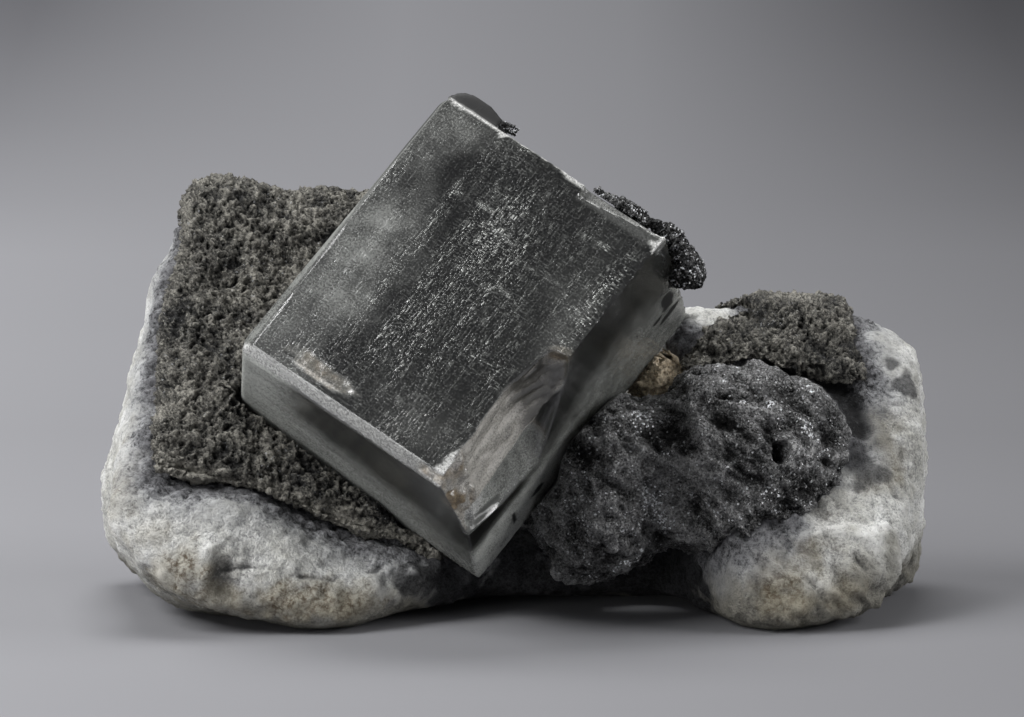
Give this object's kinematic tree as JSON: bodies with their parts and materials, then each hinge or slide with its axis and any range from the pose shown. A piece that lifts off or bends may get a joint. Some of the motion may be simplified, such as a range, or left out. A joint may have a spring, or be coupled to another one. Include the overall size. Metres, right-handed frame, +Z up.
{
  "type": "phosgenite mineral specimen",
  "caption": "Block-shaped phosgenite crystal seated on a lump of white baryte crusted with granular galena.",
  "frame": {"origin": "middle of the outer box, on the plane that the matrix stands on", "axes": "+X along the length of the matrix, to the right seen from the front; +Y to the back, away from the crystal's main face; +Z up"},
  "size_m": [0.0662, 0.0388, 0.0408],
  "materials": {
    "phosgenite": "clear to milky crystal, etched main face, gloss broken by scratches and frosted chips",
    "baryte": "chalky matt",
    "ochre": "crumbly matt",
    "galena": "dark granular metallic, small silver glints",
    "galena_crust": "dark porous granular, dull metallic"
  },
  "bodies": {
    "root": {"phosgenite_crystal": "phosgenite", "baryte_matrix": "baryte", "ochre_grains": "ochre", "galena_nodule": "galena", "galena_crust_left": "galena_crust", "galena_crust_right": "galena_crust", "galena_corner_cluster": "galena", "galena_edge_grains": "galena", "galena_tip_grains": "galena"}
  },
  "joints": []
}
